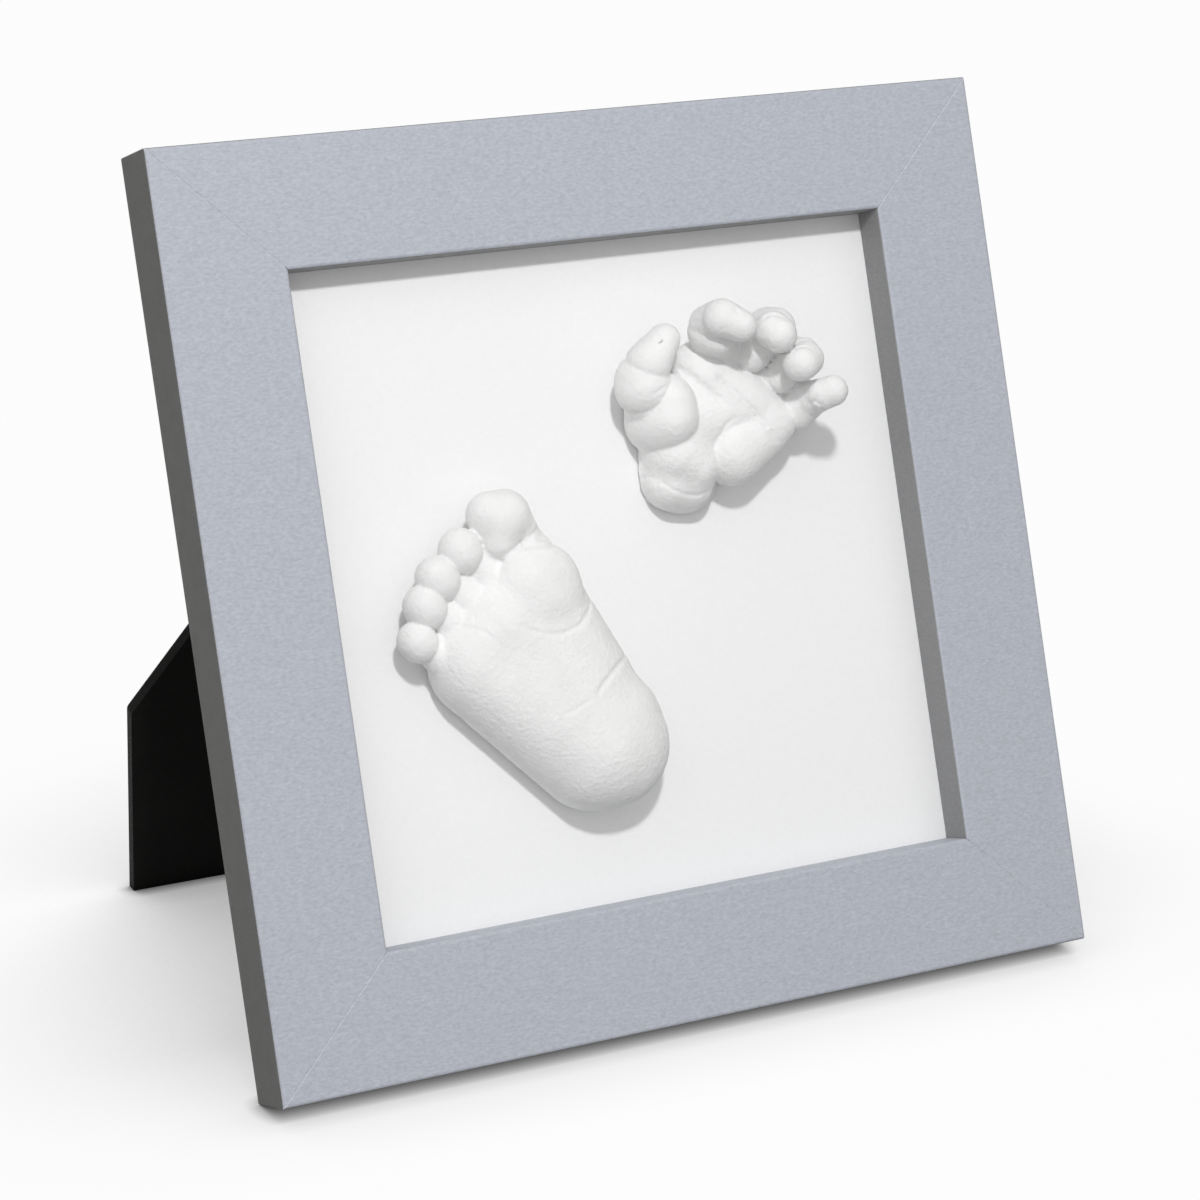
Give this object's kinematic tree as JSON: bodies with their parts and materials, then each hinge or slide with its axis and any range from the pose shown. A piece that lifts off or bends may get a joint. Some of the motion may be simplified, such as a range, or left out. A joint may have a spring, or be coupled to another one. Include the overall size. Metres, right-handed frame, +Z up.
{
  "type": "keepsake frame with plaster casts",
  "caption": "Square wrapped frame that leans on a folding strut, with plaster casts of a baby's foot and hand on a white board.",
  "frame": {"origin": "on the floor, under the middle of the box that holds the standing frame and its strut", "axes": "+X to the viewer's right along the frame's width, +Y from the front to the strut, +Z up"},
  "size_m": [0.2, 0.1241, 0.1906],
  "materials": {
    "fibreboard": "raw pressed fibreboard",
    "grey_wrap": "matt pale blue-grey fibrous paper wrap",
    "steel": "zinc-plated sheet and wire",
    "white_board": "matt white faced board",
    "black_board": "black faced fibreboard",
    "plaster": "matt white casting plaster",
    "glue": "set white glue"
  },
  "bodies": {
    "frame": {"top_rail": "fibreboard", "bottom_rail": "fibreboard", "left_rail": "fibreboard", "right_rail": "fibreboard", "top_rail_wrap": "grey_wrap", "bottom_rail_wrap": "grey_wrap", "left_rail_wrap": "grey_wrap", "right_rail_wrap": "grey_wrap", "corner_v_nails": "steel", "framing_points": "steel", "sawtooth_hanger": "steel", "hanger_nails": "steel", "display_board": "white_board", "back_panel": "black_board", "hinge_panel_leaf": "steel", "hinge_pin": "steel", "hinge_panel_rivets": "steel", "foot_cast": "plaster", "hand_cast": "plaster", "foot_glue_pads": "glue", "hand_glue_pads": "glue"},
    "strut": {"strut": "black_board", "hinge_strut_leaf": "steel", "hinge_strut_rivets": "steel"}
  },
  "joints": [
    {"name": "strut_hinge", "type": "hinge", "parent": "frame", "child": "strut", "pos_m": [0, 0.01435, 0.15138], "axis": [-1, 0, 0], "range_deg": [0, 39]}
  ]
}
